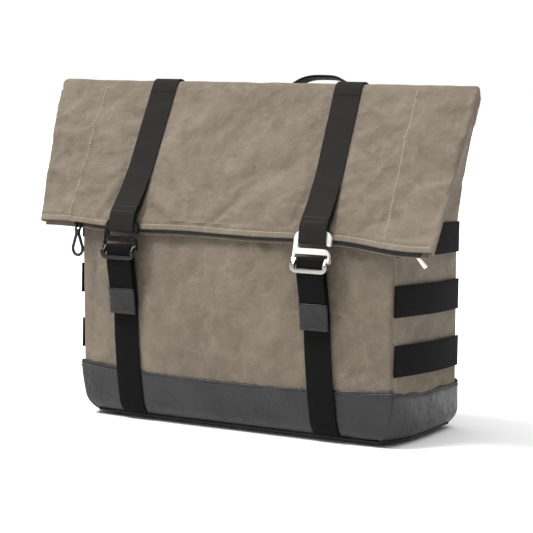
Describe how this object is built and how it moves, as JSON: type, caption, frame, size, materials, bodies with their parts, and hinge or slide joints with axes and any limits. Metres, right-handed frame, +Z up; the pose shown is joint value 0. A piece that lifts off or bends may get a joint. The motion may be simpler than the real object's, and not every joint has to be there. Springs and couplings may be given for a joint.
{
  "type": "motorcycle saddlebag",
  "caption": "Folded-top canvas motorcycle saddlebag with a zipped flap, webbing closure straps on flat hooks, leather base, side webbing and a rear mounting plate.",
  "frame": {"origin": "on the ground, under the centre of the body's base", "axes": "+X to the right of the front, +Y towards the motorcycle, +Z up"},
  "size_m": [0.6058, 0.2128, 0.4422],
  "materials": {
    "canvas": "waxed cotton canvas, matt",
    "leather": "smooth black leather, satin",
    "webbing": "woven cotton webbing, matt",
    "lining": "plain woven lining",
    "board": "stiffening board",
    "plate": "anodised sheet",
    "fasteners": "plated steel",
    "bright_metal": "bright nickel",
    "dark_metal": "black coated",
    "zip_tape": "woven tape",
    "zip_teeth": "moulded teeth",
    "loop_leather": "round leather lace"
  },
  "bodies": {
    "bag": {"front_panel": "canvas", "back_panel": "canvas", "left_gusset": "canvas", "right_gusset": "canvas", "bottom_panel": "canvas", "throat": "canvas", "fold_cap": "canvas", "front_leather_band": "leather", "back_leather_band": "leather", "left_leather_guard": "leather", "right_leather_guard": "leather", "base_welt": "leather", "lining": "lining", "base_board": "board", "back_board": "board", "mount_plate": "plate", "plate_screws": "fasteners", "plate_nuts": "fasteners", "left_side_webbing": "webbing", "right_side_webbing": "webbing", "left_lower_strap": "webbing", "right_lower_strap": "webbing", "left_strap_tip": "leather", "right_strap_tip": "leather", "left_rear_strap": "webbing", "right_rear_strap": "webbing", "handle_tabs": "leather"},
    "handle": {"carry_handle": "webbing"},
    "flap": {"flap_outer_panel": "canvas", "flap_inner_panel": "canvas", "flap_left_gusset": "canvas", "flap_right_gusset": "canvas", "zip_tapes": "zip_tape", "zip_teeth": "zip_teeth", "zip_stops": "dark_metal"},
    "zip_loop": {"zip_end_loop": "loop_leather"},
    "slider": {"zip_slider": "bright_metal"},
    "pull": {"zip_pull": "bright_metal"},
    "left_strap": {"left_upper_strap": "webbing"},
    "right_strap": {"right_upper_strap": "webbing"},
    "left_hook": {"left_hook": "dark_metal", "left_hook_pin": "dark_metal"},
    "right_hook": {"right_hook": "bright_metal", "right_hook_pin": "bright_metal"},
    "left_keeper": {"left_keeper": "dark_metal"},
    "right_keeper": {"right_keeper": "bright_metal"}
  },
  "joints": [
    {"name": "flap_fold", "type": "hinge", "parent": "bag", "child": "flap", "pos_m": [0, -0.015, 0.428], "axis": [-1, 0, 0], "range_deg": [0, 150]},
    {"name": "handle_swing", "type": "hinge", "parent": "bag", "child": "handle", "pos_m": [0.038, 0.03362, 0.388], "axis": [1, 0, 0], "range_deg": [-78, 45]},
    {"name": "left_strap_lift", "type": "hinge", "parent": "flap", "child": "left_strap", "pos_m": [0, -0.015, 0.428], "axis": [-1, 0, 0], "range_deg": [0, 50]},
    {"name": "right_strap_lift", "type": "hinge", "parent": "flap", "child": "right_strap", "pos_m": [0, -0.015, 0.428], "axis": [-1, 0, 0], "range_deg": [0, 50]},
    {"name": "left_hook_drop", "type": "hinge", "parent": "bag", "child": "left_hook", "pos_m": [-0.145, -0.117, 0.2255], "axis": [1, 0, 0], "range_deg": [0, 72]},
    {"name": "right_hook_drop", "type": "hinge", "parent": "bag", "child": "right_hook", "pos_m": [0.134, -0.117, 0.2255], "axis": [1, 0, 0], "range_deg": [0, 72]},
    {"name": "left_keeper_swing", "type": "hinge", "parent": "bag", "child": "left_keeper", "pos_m": [-0.145, -0.117, 0.2255], "axis": [-1, 0, 0], "range_deg": [0, 35]},
    {"name": "right_keeper_swing", "type": "hinge", "parent": "bag", "child": "right_keeper", "pos_m": [0.134, -0.117, 0.2255], "axis": [-1, 0, 0], "range_deg": [0, 35]},
    {"name": "zip_slide", "type": "slide", "parent": "flap", "child": "slider", "axis": [1, 0, 0], "range_m": [-0.475, 0]},
    {"name": "zip_pull_swing", "type": "hinge", "parent": "slider", "child": "pull", "pos_m": [0.269, -0.10525, 0.24333], "axis": [-1, 0, 0], "range_deg": [-25, 60]},
    {"name": "zip_loop_swing", "type": "hinge", "parent": "flap", "child": "zip_loop", "pos_m": [-0.22, -0.10571, 0.24244], "axis": [-1, 0, 0], "range_deg": [-20, 60]}
  ],
  "couplings": [
    {"joint": "left_hook_drop", "follows": "flap_fold", "ratio": 0.48},
    {"joint": "right_hook_drop", "follows": "flap_fold", "ratio": 0.48}
  ]
}
